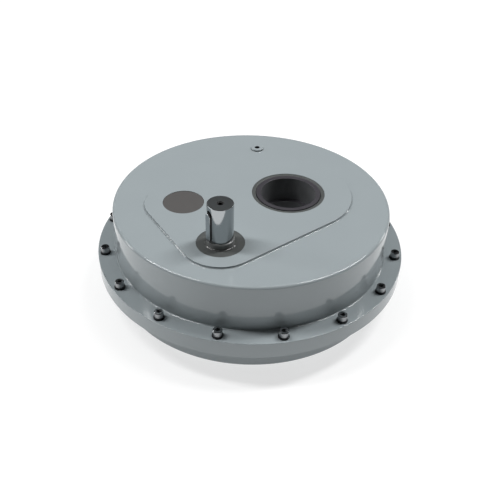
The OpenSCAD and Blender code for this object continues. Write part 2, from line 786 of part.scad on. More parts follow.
// The pressed cap that closes the intermediate bore, hollow on its inner side.
module intermediate_cap() {
    color(rubber) at(mid_axis, top_z - seal_set - cap_t) difference() {
        turned([[mid_brg_od / 2, 0, cap_t / 2], [mid_brg_od / 2, cap_t / 2, cap_t]], 0.5);
        translate([0, 0, -eps]) cylinder(r = mid_brg_od / 2 - 2.5, h = cap_t - 2 + eps);
    }
}

// ---------- output shaft ----------

out_floor_r = seat_d / 2 - key_sunk(out_key_h);
out_collar_z = wheel2_z + face2;

module output_hollow_shaft() {
    color(dark_steel) at(output_axis) difference() {
        turned([
            [out_brg_bore / 2, shaft_end_gap, out_low_brg_z + out_brg_w],
            [seat_d / 2, out_low_brg_z + out_brg_w, out_collar_z],
            [out_collar_r, out_collar_z, out_collar_z + out_collar_w],
            [seat_d / 2, out_collar_z + out_collar_w, out_top_brg_z],
            [out_brg_bore / 2, out_top_brg_z, top_z]
        ], edge);
        translate([0, 0, -eps]) cylinder(r = bore_d / 2, h = top_z + 2 * eps);
        translate([0, 0, shaft_end_gap]) countersink(bore_d / 2, -2);
        translate([0, 0, top_z - counterbore_len]) cylinder(r = counterbore_d / 2, h = counterbore_len + eps);
        translate([0, 0, top_z]) countersink(counterbore_d / 2, 2.5);
        // Keyway for the driven shaft, from the machine side up into the counterbore
        rotate(-90) translate([0, -bore_key_w / 2, -eps])
            cube([bore_d / 2 + bore_key_t, bore_key_w, top_z - counterbore_len + 2 * eps]);
        // Seat for the wheel's key
        rotate(90) key_body(out_key_w + 2 * fit, out_floor_r, seat_d / 2 + 1,
                             out_low_brg_z + out_brg_w - 1, out_collar_z - 1, false, true);
    }
}

module output_key() {
    color(gear_steel) at(output_axis) rotate(90)
        key_body(out_key_w, out_floor_r, out_floor_r + out_key_h,
                 wheel2_z, out_collar_z - 1 - fit, false, true);
}

module output_wheel() {
    color(gear_steel) at(output_axis, wheel2_z) difference() {
        wheel(m2, z_output, face2, 180 + 180 / z_output,
              seat_d / 2 + out_hub_wall, seat_d / 2 + fit, 0, 0);
        rotate(90) translate([0, -out_key_w / 2 - fit, -eps])
            cube([out_floor_r + out_key_h + 0.2, out_key_w + 2 * fit, face2 + 2 * eps]);
    }
}

module output_spacer() {
    color(steel) at(output_axis, out_low_brg_z + out_brg_w)
        ring(seat_d / 2 + fit, seat_d / 2 + 4, wheel2_z - out_low_brg_z - out_brg_w);
}

module output_top_seal() {
    color(rubber) at(output_axis, top_z - seal_set - seal_w) shaft_seal(out_brg_bore / 2, out_seal_od);
}

module output_low_seal() {
    color(rubber) at(output_axis, seal_set + seal_w) mirror([0, 0, 1])
        shaft_seal(out_brg_bore / 2, out_seal_od);
}

// ---------- every piece ----------

upper_case();
lower_case();
case_o_ring();
case_dowels();
flange_screws();
spring_washers();
flat_washers();
filler_plug();
filler_plug_washer();
drain_plug();
level_plug();

input_pinion_shaft();
input_key();
input_seal();
outer_ring(in_brg, input_axis, in_top_brg_z);  // input_top_bearing_outer_ring
inner_ring(in_brg, input_axis, in_top_brg_z);  // input_top_bearing_inner_ring
balls(in_brg, input_axis, in_top_brg_z);  // input_top_bearing_balls
cage(in_brg, input_axis, in_top_brg_z);  // input_top_bearing_cage
outer_ring(small_brg, input_axis, small_brg_z);  // input_low_bearing_outer_ring
inner_ring(small_brg, input_axis, small_brg_z);  // input_low_bearing_inner_ring
balls(small_brg, input_axis, small_brg_z);  // input_low_bearing_balls
cage(small_brg, input_axis, small_brg_z);  // input_low_bearing_cage

intermediate_pinion_shaft();
intermediate_wheel();
intermediate_key();
intermediate_spacer();
intermediate_circlip();
intermediate_cap();
outer_ring(small_brg, mid_axis, mid_top_brg_z);  // intermediate_top_bearing_outer_ring
inner_ring(small_brg, mid_axis, mid_top_brg_z);  // intermediate_top_bearing_inner_ring
balls(small_brg, mid_axis, mid_top_brg_z);  // intermediate_top_bearing_balls
cage(small_brg, mid_axis, mid_top_brg_z);  // intermediate_top_bearing_cage
outer_ring(small_brg, mid_axis, small_brg_z);  // intermediate_low_bearing_outer_ring
inner_ring(small_brg, mid_axis, small_brg_z);  // intermediate_low_bearing_inner_ring
balls(small_brg, mid_axis, small_brg_z);  // intermediate_low_bearing_balls
cage(small_brg, mid_axis, small_brg_z);  // intermediate_low_bearing_cage

output_hollow_shaft();
output_wheel();
output_key();
output_spacer();
output_top_seal();
output_low_seal();
outer_ring(out_brg, output_axis, out_top_brg_z);  // output_top_bearing_outer_ring
inner_ring(out_brg, output_axis, out_top_brg_z);  // output_top_bearing_inner_ring
balls(out_brg, output_axis, out_top_brg_z);  // output_top_bearing_balls
cage(out_brg, output_axis, out_top_brg_z);  // output_top_bearing_cage
outer_ring(out_brg, output_axis, out_low_brg_z);  // output_low_bearing_outer_ring
inner_ring(out_brg, output_axis, out_low_brg_z);  // output_low_bearing_inner_ring
balls(out_brg, output_axis, out_low_brg_z);  // output_low_bearing_balls
cage(out_brg, output_axis, out_low_brg_z);  // output_low_bearing_cage
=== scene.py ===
# %% [markdown]
# # A shaft-mounted gear reducer, dressed for a studio picture
# The gears, shafts, bearings and housing were built first as exact solids, and they arrive here
# as a fixed frame: one mesh for each part, already in its place, in metres. This lesson keeps
# the hidden parts as they are and gives them finishes. What the eye meets first is modelled
# again by hand: the two castings, the screws and their washers, the filler plug, the cap, the
# seals, the key and the hollow shaft. That gives them the small forms that the solids leave out
# or simplify, such as the screws' knurls, the seals' lips and the broken edges.

# %% Load the frame
import math
import bmesh
import bpy
from mathutils import Matrix, Vector


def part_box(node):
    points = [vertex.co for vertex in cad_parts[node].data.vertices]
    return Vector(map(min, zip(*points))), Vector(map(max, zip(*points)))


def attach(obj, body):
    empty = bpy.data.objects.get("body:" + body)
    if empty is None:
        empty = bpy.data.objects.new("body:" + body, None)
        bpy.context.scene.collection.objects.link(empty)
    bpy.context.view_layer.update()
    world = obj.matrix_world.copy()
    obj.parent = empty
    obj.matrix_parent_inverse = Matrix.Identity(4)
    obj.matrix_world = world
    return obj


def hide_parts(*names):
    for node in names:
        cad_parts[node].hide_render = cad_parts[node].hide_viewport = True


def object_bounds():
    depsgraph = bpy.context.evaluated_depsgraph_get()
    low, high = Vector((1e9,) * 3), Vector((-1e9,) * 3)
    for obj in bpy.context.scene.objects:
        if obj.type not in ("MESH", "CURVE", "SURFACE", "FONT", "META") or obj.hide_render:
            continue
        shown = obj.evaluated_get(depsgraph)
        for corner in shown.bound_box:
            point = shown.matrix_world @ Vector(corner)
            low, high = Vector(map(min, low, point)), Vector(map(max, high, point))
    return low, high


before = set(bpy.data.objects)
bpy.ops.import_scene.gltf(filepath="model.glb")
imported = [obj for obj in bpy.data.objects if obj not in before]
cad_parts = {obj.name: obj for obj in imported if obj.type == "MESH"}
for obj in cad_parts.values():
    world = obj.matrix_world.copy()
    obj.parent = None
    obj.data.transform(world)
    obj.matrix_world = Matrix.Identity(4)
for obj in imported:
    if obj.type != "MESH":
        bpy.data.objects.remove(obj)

MM = 0.001
cad_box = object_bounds()
print("parts in the frame:", len(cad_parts))
print("size in mm:", [round((high - low) / MM, 1) for low, high in zip(*cad_box)])

# %% [markdown]
# ## The camera
# The camera is placed first, because every later choice is judged through it. It stands in
# front and a little to the left, about 0.68 m from the housing's axis and 0.55 m up. It points
# level at that axis, then tips down by 37 degrees, then rolls by less than two degrees.
# Building its three axes by hand keeps those angles plain to read.

# %% Camera
camera_place = Vector((-144.8, -659.6, 548.1)) * MM
camera_tilt = 0.649
camera_roll = 0.0295

level = Vector((-camera_place.x, -camera_place.y, 0)).normalized()
forward = level * math.cos(camera_tilt) - Vector((0, 0, math.sin(camera_tilt)))
side = forward.cross(Vector((0, 0, 1))).normalized()
upright = side.cross(forward)
right = side * math.cos(camera_roll) + upright * math.sin(camera_roll)
up = upright * math.cos(camera_roll) - side * math.sin(camera_roll)

bpy.ops.object.camera_add(location=camera_place)
camera = bpy.context.object
camera.name = "studio_camera"
camera.data.lens = 50
camera.data.sensor_width = 36
camera_turn = Matrix((right, up, -forward)).transposed().to_4x4()
camera.matrix_world = Matrix.Translation(camera_place) @ camera_turn
bpy.context.scene.camera = camera
print("camera tilt in degrees:", round(math.degrees(camera_tilt), 1))

# %% [markdown]
# ## Helpers for modelling
# Every operator works on what is selected, so each step starts by selecting one object and
# nothing else. Inside a mesh, faces and edges are picked by a test on their place or their
# normal, the way a hand would click on them.

# %% Selecting
def only(obj):
    """Select this object alone and make it active."""
    bpy.ops.object.select_all(action="DESELECT")
    obj.select_set(True)
    bpy.context.view_layer.objects.active = obj
    return obj


def pick(obj, kind, test):
    """In edit mode, select the faces or edges that pass the test, and say how many they are."""
    bpy.ops.mesh.select_mode(type={"faces": "FACE", "edges": "EDGE"}[kind])
    bpy.ops.mesh.select_all(action="DESELECT")
    mesh = bmesh.from_edit_mesh(obj.data)
    found = [item for item in getattr(mesh, kind) if test(item)]
    for item in found:
        item.select_set(True)
    mesh.select_flush_mode()
    bmesh.update_edit_mesh(obj.data)
    return len(found)


def edge_middle(edge):
    """The point halfway along an edge."""
    return (edge.verts[0].co + edge.verts[1].co) / 2


def flat_at(z, tolerance=0.02 * MM):
    """A test for level faces at height z."""
    def test(face):
        return abs(face.normal.z) > 0.99 and abs(face.calc_center_median().z - z) < tolerance
    return test


def rim_at(z, r, tolerance=0.15 * MM):
    """A test for edges that lie in a circle of radius r about the axis at height z."""
    def test(edge):
        return all(abs(v.co.z - z) < tolerance and abs(v.co.xy.length - r) < tolerance
                   for v in edge.verts)
    return test


def above(z):
    """A test for edges whose two ends lie at height z or higher."""
    return lambda edge: all(v.co.z > z - 0.01 * MM for v in edge.verts)


def modify(obj, kind, **settings):
    """Add a modifier, set it and apply it."""
    only(obj)
    modifier = obj.modifiers.new(kind.title(), kind)
    for name, value in settings.items():
        setattr(modifier, name, value)
    bpy.ops.object.modifier_apply(modifier=modifier.name)
    return obj


def finish_mesh(obj, name, angle=35):
    """Merge doubles, make the faces point outwards and shade the curved ones smooth."""
    only(obj)
    bpy.ops.object.transform_apply(location=True, rotation=True, scale=True)
    bpy.ops.object.mode_set(mode="EDIT")
    bpy.ops.mesh.select_all(action="SELECT")
    bpy.ops.mesh.remove_doubles(threshold=0.001 * MM)
    bpy.ops.mesh.normals_make_consistent(inside=False)
    bpy.ops.object.mode_set(mode="OBJECT")
    bpy.ops.object.shade_smooth_by_angle(angle=math.radians(angle))
    modify(obj, "WEIGHTED_NORMAL", keep_sharp=True, weight=100)
    obj.name = obj.data.name = name
    print(name, "faces:", len(obj.data.polygons), "corners:", len(obj.data.vertices))
    return obj


# %% [markdown]
# ## Sizes taken from the frame
# Most levels and the flange's radius come from the boxes of the parts in the frame. A box
# doesn't show the drum inside the flange, how thick a wall is, how deep a bore goes or how an
# edge is rounded, so those sizes are typed, each under a name. Most of them repeat the solids'
# own. The drum is a little narrower at its rim than at its foot, as a casting has to be to
# leave its mould.

# %% Sizes
case_low, case_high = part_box("upper_case")
flange_r = case_high.x
split_z = case_low.z
top_z = case_high.z
base_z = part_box("lower_case")[0].z
washer_low, washer_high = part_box("flat_washers")
flange_top_z = washer_low.z
lower_flange_h = 9 * MM
flange_low_z = split_z - lower_flange_h
platform_h = 2.5 * MM
drum_top_z = top_z - platform_h
drum_foot_r = 159.58 * MM
drum_rim_r = 158.88 * MM
base_r = 160.48 * MM
wall = 8 * MM
cavity_r = drum_foot_r - wall
rim_round, foot_round, flange_round, cavity_round = 3 * MM, 1.6 * MM, 0.8 * MM, 2 * MM
over = 1 * MM            # how far a cutter reaches past what it cuts


def middle(node):
    """The middle of a part's box."""
    low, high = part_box(node)
    return (low + high) / 2


output_axis = middle("output_hollow_shaft").xy
input_axis = middle("input_seal").xy
intermediate_axis = middle("intermediate_cap").xy
for name, axis in (("output", output_axis), ("input", input_axis), ("middle", intermediate_axis)):
    print(name, "axis in mm:", [round(v / MM, 2) for v in axis])

# %% [markdown]
# ## One half of the housing
# On the real reducer each half is a casting: a drum closed at one end, with a bolted flange at
# the split. It could be spun from a profile, but growing it from a disc shows the real order
# of the walls. A disc the size of the flange is inset to the drum and pulled out, the open
# side is inset to the wall and pushed in, and then the corners get the roundings that a mould
# needs. The same steps make the lower half with the direction turned round.

# %% Housing half
def grow_up(distance):
    """Extrude what is selected along z; a negative distance goes down."""
    bpy.ops.mesh.extrude_region_move(TRANSFORM_OT_translate={"value": (0, 0, distance)})


def housing_half(split, flange_end, drum_end, foot_r, rim_r, grow):
    """Grow a closed drum with a flange; grow is +1 upwards and -1 downwards."""
    bpy.ops.object.select_all(action="DESELECT")
    bpy.ops.mesh.primitive_cylinder_add(
        vertices=192, radius=flange_r, depth=abs(flange_end - split),
        location=(0, 0, (split + flange_end) / 2))
    half = bpy.context.object
    bpy.ops.object.transform_apply(location=True)
    bpy.ops.object.mode_set(mode="EDIT")
    pick(half, "faces", flat_at(flange_end))
    bpy.ops.mesh.inset(thickness=flange_r - foot_r)
    grow_up(drum_end - flange_end)
    bpy.ops.transform.resize(value=(rim_r / foot_r, rim_r / foot_r, 1))
    pick(half, "faces", flat_at(split))
    bpy.ops.mesh.inset(thickness=flange_r - cavity_r)
    grow_up(drum_end - grow * wall - split)
    pick(half, "edges", rim_at(drum_end, rim_r))
    bpy.ops.mesh.bevel(offset=rim_round, segments=10, affect="EDGES")
    pick(half, "edges", rim_at(flange_end, foot_r))
    bpy.ops.mesh.bevel(offset=foot_round, segments=6, affect="EDGES")
    pick(half, "edges", rim_at(flange_end, flange_r))
    bpy.ops.mesh.bevel(offset=flange_round, segments=3, affect="EDGES")
    pick(half, "edges", rim_at(drum_end - grow * wall, cavity_r))
    bpy.ops.mesh.bevel(offset=cavity_round, segments=3, affect="EDGES")
    bpy.ops.object.mode_set(mode="OBJECT")
    return half


upper = housing_half(split_z, flange_top_z, drum_top_z, drum_foot_r, drum_rim_r, 1)
lower = housing_half(split_z, flange_low_z, base_z + platform_h, base_r, base_r, -1)
print("drum top at", round(drum_top_z / MM, 2), "mm; corners:", len(upper.data.vertices))

# %% [markdown]
# ## The machined platform
# A raised pad joins the three bearing bores, with one round corner about each axis. Its
# outline is the shape a string makes when it is pulled round three discs, which is just what
# Blender's convex hull operator does. The pad's edge is then rounded, because paint and a
# worn mould leave no quite sharp corner there. It stays small, because the pad's face is
# machined after casting, which cuts most of the rounding away.

# %% Platform
platform_discs = [(output_axis, 74 * MM), (intermediate_axis, 44 * MM), (input_axis, 42 * MM)]
pad_edge = 0.25 * MM
pad_root = 1 * MM        # how deep the pad sinks into the drum's end


def platform(low, high, outer):
    """A hull round three discs; outer is the level of its free face, whose edge is rounded."""
    bpy.ops.object.select_all(action="DESELECT")
    discs = []
    for centre, radius in platform_discs:
        bpy.ops.mesh.primitive_cylinder_add(
            vertices=128, radius=radius, depth=high - low,
            location=(*centre, (low + high) / 2))
        discs.append(bpy.context.object)
    for disc in discs:
        disc.select_set(True)
    bpy.ops.object.join()
    pad = bpy.context.object
    bpy.ops.object.transform_apply(location=True)
    bpy.ops.object.mode_set(mode="EDIT")
    bpy.ops.mesh.select_all(action="SELECT")
    bpy.ops.mesh.convex_hull()
    bpy.ops.mesh.select_all(action="SELECT")
    bpy.ops.mesh.dissolve_limited(angle_limit=math.radians(1))
    pick(pad, "edges", lambda e: all(abs(v.co.z - outer) < 0.01 * MM for v in e.verts))
    bpy.ops.mesh.bevel(offset=pad_edge, segments=2, affect="EDGES")
    bpy.ops.object.mode_set(mode="OBJECT")
    return pad


upper_pad = platform(drum_top_z - pad_root, top_z, top_z)
lower_pad = platform(base_z, base_z + platform_h + pad_root, base_z)
print("platform corners:", len(upper_pad.data.vertices))

# %% [markdown]
# ## Joining and boring
# The pad and the bosses are welded to the half by boolean unions. The bores are then cut in
# two passes, because solids cut together mustn't touch each other: the bearing seats belong to
# the first pass, and the seal bores that share their axes to the second.

# %% Booleans
def plug(centre, radius, low, high, vertices=128):
    """A plain cylinder to add or to cut with."""
    bpy.ops.object.select_all(action="DESELECT")
    bpy.ops.mesh.primitive_cylinder_add(
        vertices=vertices, radius=radius, depth=high - low,
        location=(centre[0], centre[1], (low + high) / 2))
    bpy.ops.object.transform_apply(location=True)
    return bpy.context.object


def weld(body, other):
    """Join another solid to the body and drop it."""
    modify(body, "BOOLEAN", operation="UNION", solver="EXACT", object=other)
    bpy.data.objects.remove(other)


def cut(body, cutters):
    """Cut with a list of solids that don't touch each other."""
    only(cutters[0])
    for cutter in cutters[1:]:
        cutter.select_set(True)
    bpy.ops.object.join()
    tool = bpy.context.object
    modify(body, "BOOLEAN", operation="DIFFERENCE", solver="EXACT", object=tool)
    bpy.data.objects.remove(tool)


screw_count = 16
flat_washer_r = 6 * MM
screw_circle_r = washer_high.x - flat_washer_r
screw_angles = [math.tau * i / screw_count for i in range(screw_count)]
screw_places = [Vector((math.cos(a), math.sin(a))) * screw_circle_r for a in screw_angles]
output_seat_r, output_seal_r = 52.5 * MM, 42.5 * MM
input_seat_r, input_seal_r = 27.5 * MM, 26 * MM
small_seat_r = 23.5 * MM
filler_place = middle("filler_plug").xy
print("screw circle radius in mm:", round(screw_circle_r / MM, 2))

# %% [markdown]
# Inside the upper half a boss carries each bore. A boss is given by its radius and by how far
# below the platform's face it ends. The output's and the input's seats stop short of the face,
# and a narrower seal bore goes on from there. The intermediate bore and the filler's hole go
# straight through.

# %% Upper bores
output_boss_r, output_boss_h = 60 * MM, 24 * MM
small_boss_r, small_boss_h = 31 * MM, 23 * MM
input_boss_r, input_boss_h = 35 * MM, 22 * MM
filler_boss_r, filler_boss_h = 11 * MM, 14.5 * MM
boss_root = 3 * MM       # how far below the drum's end a boss is rooted
output_roof, output_seal_depth = 8 * MM, 9 * MM
input_roof, input_seal_depth = 9 * MM, 10 * MM
filler_hole_r, upper_screw_hole_r = 5.1 * MM, 3.3 * MM

weld(upper, upper_pad)
for centre, radius, height in ((output_axis, output_boss_r, output_boss_h),
                               (intermediate_axis, small_boss_r, small_boss_h),
                               (input_axis, input_boss_r, input_boss_h),
                               (filler_place, filler_boss_r, filler_boss_h)):
    weld(upper, plug(centre, radius, top_z - height, drum_top_z - boss_root))
cut(upper, [plug(output_axis, output_seat_r, top_z - output_boss_h - over, top_z - output_roof),
            plug(input_axis, input_seat_r, top_z - input_boss_h - over, top_z - input_roof),
            plug(intermediate_axis, small_seat_r, top_z - small_boss_h - over, top_z + over),
            plug(filler_place, filler_hole_r, top_z - filler_boss_h - over, top_z + over, 48)])
cut(upper, [plug(output_axis, output_seal_r, top_z - output_seal_depth, top_z + over),
            plug(input_axis, input_seal_r, top_z - input_seal_depth, top_z + over)]
    + [plug(place, upper_screw_hole_r, split_z - over, flange_top_z + over, 24)
       for place in screw_places])
print("upper casting corners after boring:", len(upper.data.vertices))

# %% [markdown]
# The lower half is bored in the same way, but its levels are counted from the ground, and the
# pockets of the two smaller shafts are blind. Its platform has eight tapped holes to mount the
# reducer by, and beside it two holes take plugs.

# %% Lower bores
lower_output_boss_r, lower_output_boss_top = 73 * MM, 24 * MM
lower_small_boss_top = 22.5 * MM
output_floor, small_floor, output_seal_top = 8 * MM, 8.5 * MM, 9 * MM
mount_count, mount_circle_r, mount_hole_r, mount_hole_top = 8, 64 * MM, 5 * MM, 18 * MM
drain_hole_r, drain_hole_top, lower_screw_hole_r = 8.05 * MM, 15 * MM, 3.05 * MM
lower_root = base_z + platform_h + boss_root

weld(lower, lower_pad)
weld(lower, plug(output_axis, lower_output_boss_r, lower_root, lower_output_boss_top))
for centre in (intermediate_axis, input_axis):
    weld(lower, plug(centre, small_boss_r, lower_root, lower_small_boss_top))
mount_angles = [math.tau * (i + 0.5) / mount_count for i in range(mount_count)]
mount_places = [output_axis + Vector((math.cos(a), math.sin(a))) * mount_circle_r
                for a in mount_angles]
drain_places = [middle(node).xy for node in ("drain_plug", "level_plug")]
cut(lower, [plug(output_axis, output_seat_r, output_floor, lower_output_boss_top + over)]
    + [plug(centre, small_seat_r, small_floor, lower_small_boss_top + over)
       for centre in (intermediate_axis, input_axis)])
cut(lower, [plug(output_axis, output_seal_r, base_z - over, output_seal_top)]
    + [plug(place, mount_hole_r, base_z - over, mount_hole_top, 32) for place in mount_places]
    + [plug(place, drain_hole_r, base_z - over, drain_hole_top, 48) for place in drain_places]
    + [plug(place, lower_screw_hole_r, flange_low_z - over, split_z + over, 24)
       for place in screw_places])
print("lower casting corners after boring:", len(lower.data.vertices))

# %% [markdown]
# ## Soft foot round the platform
# Where the pad rises from the drum, the mould leaves a fillet, which softens the line below the
# pad's dark edge. The test asks for edges at the drum's level, well inside the rim, whose two
# faces meet at a steep angle. Those are the pad's outline, and also the mouths of the filler's
# and the two lower plugs' holes, which get the same rounding.

# %% Platform foot
pad_foot_round = 1.8 * MM
rim_margin = 5 * MM      # edges nearer than this to the rim belong to the rim


def round_inner(body, z, inside):
    """Round the steep edges at height z that lie nearer to the axis than the given radius."""
    only(body)
    bpy.ops.object.mode_set(mode="EDIT")

    def test(edge):
        if len(edge.link_faces) != 2 or not all(abs(v.co.z - z) < 0.02 * MM for v in edge.verts):
            return False
        return abs(edge.calc_face_angle_signed(0)) > 1 and edge_middle(edge).xy.length < inside
    count = pick(body, "edges", test)
    bpy.ops.mesh.bevel(offset=pad_foot_round, segments=6, affect="EDGES")
    bpy.ops.object.mode_set(mode="OBJECT")
    return count


print("foot edges:", round_inner(upper, drum_top_z, drum_rim_r - rim_margin),
      round_inner(lower, base_z + platform_h, base_r - rim_margin))
finish_mesh(upper, "upper_casting")
finish_mesh(lower, "lower_casting")

# %% Seat the castings
for piece, node in ((upper, "upper_case"), (lower, "lower_case")):
    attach(piece, "housing")
    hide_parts(node)
print("castings seated:", upper.name, lower.name)

# %% [markdown]
# ## A flange screw
# Sixteen socket-head screws hold the two castings together. A real one has a plain foot, a
# knurled band for the fingers, a small chamfer and a six-sided socket, and those are what
# sparkle on it. The head grows upwards from a thin disc by extrusions, every second edge of the
# band is drawn in to make the knurl, and the socket is cut by a six-sided cylinder.

# %% Screw
screws_low, screws_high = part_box("flange_screws")
spring_low, spring_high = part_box("spring_washers")
seat_z, head_top_z = spring_high.z, screws_high.z
head_r, shank_r, chamfer = 5 * MM, 3 * MM, 0.5 * MM
foot_disc_h = 0.4 * MM
band_foot, band_top, band_slope = 0.7 * MM, 1.3 * MM, 0.3 * MM
socket_flats, socket_depth = 5, 3 * MM          # the flats in mm, as a key is named
knurl_count, knurl_draw = 36, 0.955

screw = plug((0, 0), head_r, seat_z, seat_z + foot_disc_h, 2 * knurl_count)
band_low, band_high = seat_z + band_foot, head_top_z - band_top
bpy.ops.object.mode_set(mode="EDIT")
pick(screw, "faces", flat_at(seat_z + foot_disc_h))
for level in (band_low, band_high, band_high + band_slope, head_top_z - chamfer, head_top_z):
    now = max(v.co.z for v in bmesh.from_edit_mesh(screw.data).verts)
    grow_up(level - now)
draw_in = (head_r - chamfer) / head_r
bpy.ops.transform.resize(value=(draw_in, draw_in, 1), center_override=(0, 0, 0))


def knurl_edge(edge):
    """Every second upright edge of the band."""
    a, b = (v.co for v in edge.verts)
    if (a.xy - b.xy).length > 0.01 * MM or abs(a.z + b.z - band_low - band_high) > 0.01 * MM:
        return False
    return round(math.atan2(a.y, a.x) / math.tau * 2 * knurl_count) % 2 == 0


print("knurl edges:", pick(screw, "edges", knurl_edge))
bpy.ops.transform.resize(value=(knurl_draw, knurl_draw, 1), center_override=(0, 0, 0))
pick(screw, "faces", flat_at(seat_z))
bpy.ops.mesh.inset(thickness=head_r - shank_r)
grow_up(screws_low.z - seat_z)
bpy.ops.object.mode_set(mode="OBJECT")
cut(screw, [plug((0, 0), socket_flats / math.sqrt(3) * MM,
                 head_top_z - socket_depth, head_top_z + over, 6)])
finish_mesh(screw, "flange_screw", 30)

# %% [markdown]
# ## Its two washers
# A split spring washer is one turn of flat wire, so a small rectangle is spun through all but a
# few degrees. The flat washer is a ring: both faces of a disc are inset to the hole, and
# the two inner faces are bridged through.

# %% Washers
def uncut(face):
    """A test for level faces of many corners, which are the discs that are still to be opened."""
    return abs(face.normal.z) > 0.99 and len(face.verts) > 20


def ring(centre, inner, outer, low, high, vertices=64, edge=0):
    """A flat ring with a hole through it, its outer edges rounded by the given width."""
    body = plug(centre, outer, low, high, vertices)
    bpy.ops.object.mode_set(mode="EDIT")
    if edge:
        pick(body, "edges", lambda e: abs(e.verts[0].co.z - e.verts[1].co.z) < 0.01 * MM)
        bpy.ops.mesh.bevel(offset=edge, segments=2, affect="EDGES")
    pick(body, "faces", uncut)
    bpy.ops.mesh.inset(thickness=outer - edge - inner)
    bpy.ops.mesh.bridge_edge_loops()
    bpy.ops.object.mode_set(mode="OBJECT")
    return body


flat_washer_hole_r, flat_washer_edge = 3.2 * MM, 0.15 * MM
spring_wire_r, spring_wire_w, spring_turn = 4.3 * MM, 2.4 * MM, math.radians(346)

flat_washer = ring((0, 0), flat_washer_hole_r, flat_washer_r, flange_top_z, washer_high.z, 48,
                   flat_washer_edge)
finish_mesh(flat_washer, "flat_washer")
bpy.ops.object.select_all(action="DESELECT")
bpy.ops.mesh.primitive_plane_add(
    size=1, location=(spring_wire_r, 0, (spring_low.z + spring_high.z) / 2),
    rotation=(math.pi / 2, 0, 0))
spring_washer = bpy.context.object
spring_washer.scale = (spring_wire_w, spring_high.z - spring_low.z, 1)
bpy.ops.object.transform_apply(location=True, rotation=True, scale=True)
bpy.ops.object.mode_set(mode="EDIT")
bpy.ops.mesh.select_all(action="SELECT")
bpy.ops.mesh.spin(steps=40, angle=spring_turn, center=(0, 0, 0), axis=(0, 0, 1))
bpy.ops.object.mode_set(mode="OBJECT")
finish_mesh(spring_washer, "spring_washer")

# %% [markdown]
# ## Sixteen of each
# The screws share one size and one place pattern, so one of each is enough. Each copy gets its
# own mesh, and each is turned by its own angle, because no two screws stop at the same turn.

# %% Copies
first_turn, turn_step = 23, 101          # degrees, so that no two heads stand alike
screw_turns = [math.radians(first_turn + turn_step * i) for i in range(screw_count)]
fastener_pieces = {}


def copies(piece, name, node):
    """Copy the piece to every screw's place, with a mesh of its own, and drop the pattern."""
    made = []
    for number, (place, turn) in enumerate(zip(screw_places, screw_turns), 1):
        only(piece)
        bpy.ops.object.duplicate()
        copy = bpy.context.object
        copy.location, copy.rotation_euler.z = (*place, 0), turn
        bpy.ops.object.transform_apply(location=True, rotation=True, scale=True)
        copy.name = copy.data.name = f"{name}_{number:02d}"
        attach(copy, "housing")
        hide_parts(node)
        made.append(copy)
    bpy.data.objects.remove(piece)
    return made


fastener_pieces["screw"] = copies(screw, "flange_screw", "flange_screws")
fastener_pieces["spring"] = copies(spring_washer, "spring_washer", "spring_washers")
fastener_pieces["flat"] = copies(flat_washer, "flat_washer", "flat_washers")
print("fasteners:", {kind: len(made) for kind, made in fastener_pieces.items()})

# %% [markdown]
# ## Filler plug
# The plug closes the oil filler. It was screwed in before the housing was sprayed, so it wears
# the same enamel. Its flange slopes a little, which is done by drawing in the top face, and a
# thin sealing washer lifts it off the casting and leaves a dark line below.

# %% Plug and washer
filler_low, filler_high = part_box("filler_plug")
seal_low, seal_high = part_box("filler_plug_washer")
filler_r, filler_slope, filler_edge = 8 * MM, 0.925, 0.4 * MM
filler_thread_inset = 3 * MM
filler_flats, filler_socket_depth = 6, 5 * MM
filler_seal_r, filler_seal_edge = 7.6 * MM, 0.1 * MM

filler = plug(filler_place, filler_r, seal_high.z, filler_high.z, 64)
filler_centre = (*filler_place, 0)
bpy.ops.object.mode_set(mode="EDIT")
pick(filler, "faces", flat_at(filler_high.z))
bpy.ops.transform.resize(value=(filler_slope, filler_slope, 1), center_override=filler_centre)
pick(filler, "edges", above(filler_high.z))
bpy.ops.mesh.bevel(offset=filler_edge, segments=3, affect="EDGES")
pick(filler, "faces", flat_at(seal_high.z))
bpy.ops.mesh.inset(thickness=filler_thread_inset)
grow_up(filler_low.z - seal_high.z)
bpy.ops.object.mode_set(mode="OBJECT")
cut(filler, [plug(filler_place, filler_flats / math.sqrt(3) * MM,
                  filler_high.z - filler_socket_depth, filler_high.z + over, 6)])
finish_mesh(filler, "painted_filler_plug", 30)
filler_seal = ring(filler_place, filler_hole_r, filler_seal_r, seal_low.z, seal_high.z, 48,
                   filler_seal_edge)
finish_mesh(filler_seal, "filler_sealing_washer")

# %% [markdown]
# ## Cap and seals
# A rubber-covered cap closes the intermediate shaft's bore, and a lip seal closes each turning
# shaft's. A seal's face is a flat web with a rounded outer edge. Next to the turning shaft it
# ends in a lip, which rises a little round the input shaft and lies lower round the output. The
# web is one disc whose face is inset and lowered, step by step, and then bridged through.

# %% Seals
seal_edge = 0.3 * MM


def shaft_seal(centre, node, outer, steps):
    """A seal seen from above; steps are pairs of radius and drop below the face."""
    low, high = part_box(node)
    body = plug(centre, outer, low.z, high.z, 128)
    bpy.ops.object.mode_set(mode="EDIT")
    pick(body, "edges", above(high.z))
    bpy.ops.mesh.bevel(offset=seal_edge, segments=3, affect="EDGES")
    pick(body, "faces", flat_at(high.z))
    now, level = outer - seal_edge, 0
    for radius, drop in steps:
        bpy.ops.mesh.inset(thickness=now - radius, depth=level - drop)
        now, level = radius, drop
    pick(body, "faces", flat_at(low.z))
    bpy.ops.mesh.inset(thickness=outer - now)
    pick(body, "faces", uncut)
    bpy.ops.mesh.bridge_edge_loops()
    bpy.ops.object.mode_set(mode="OBJECT")
    return body


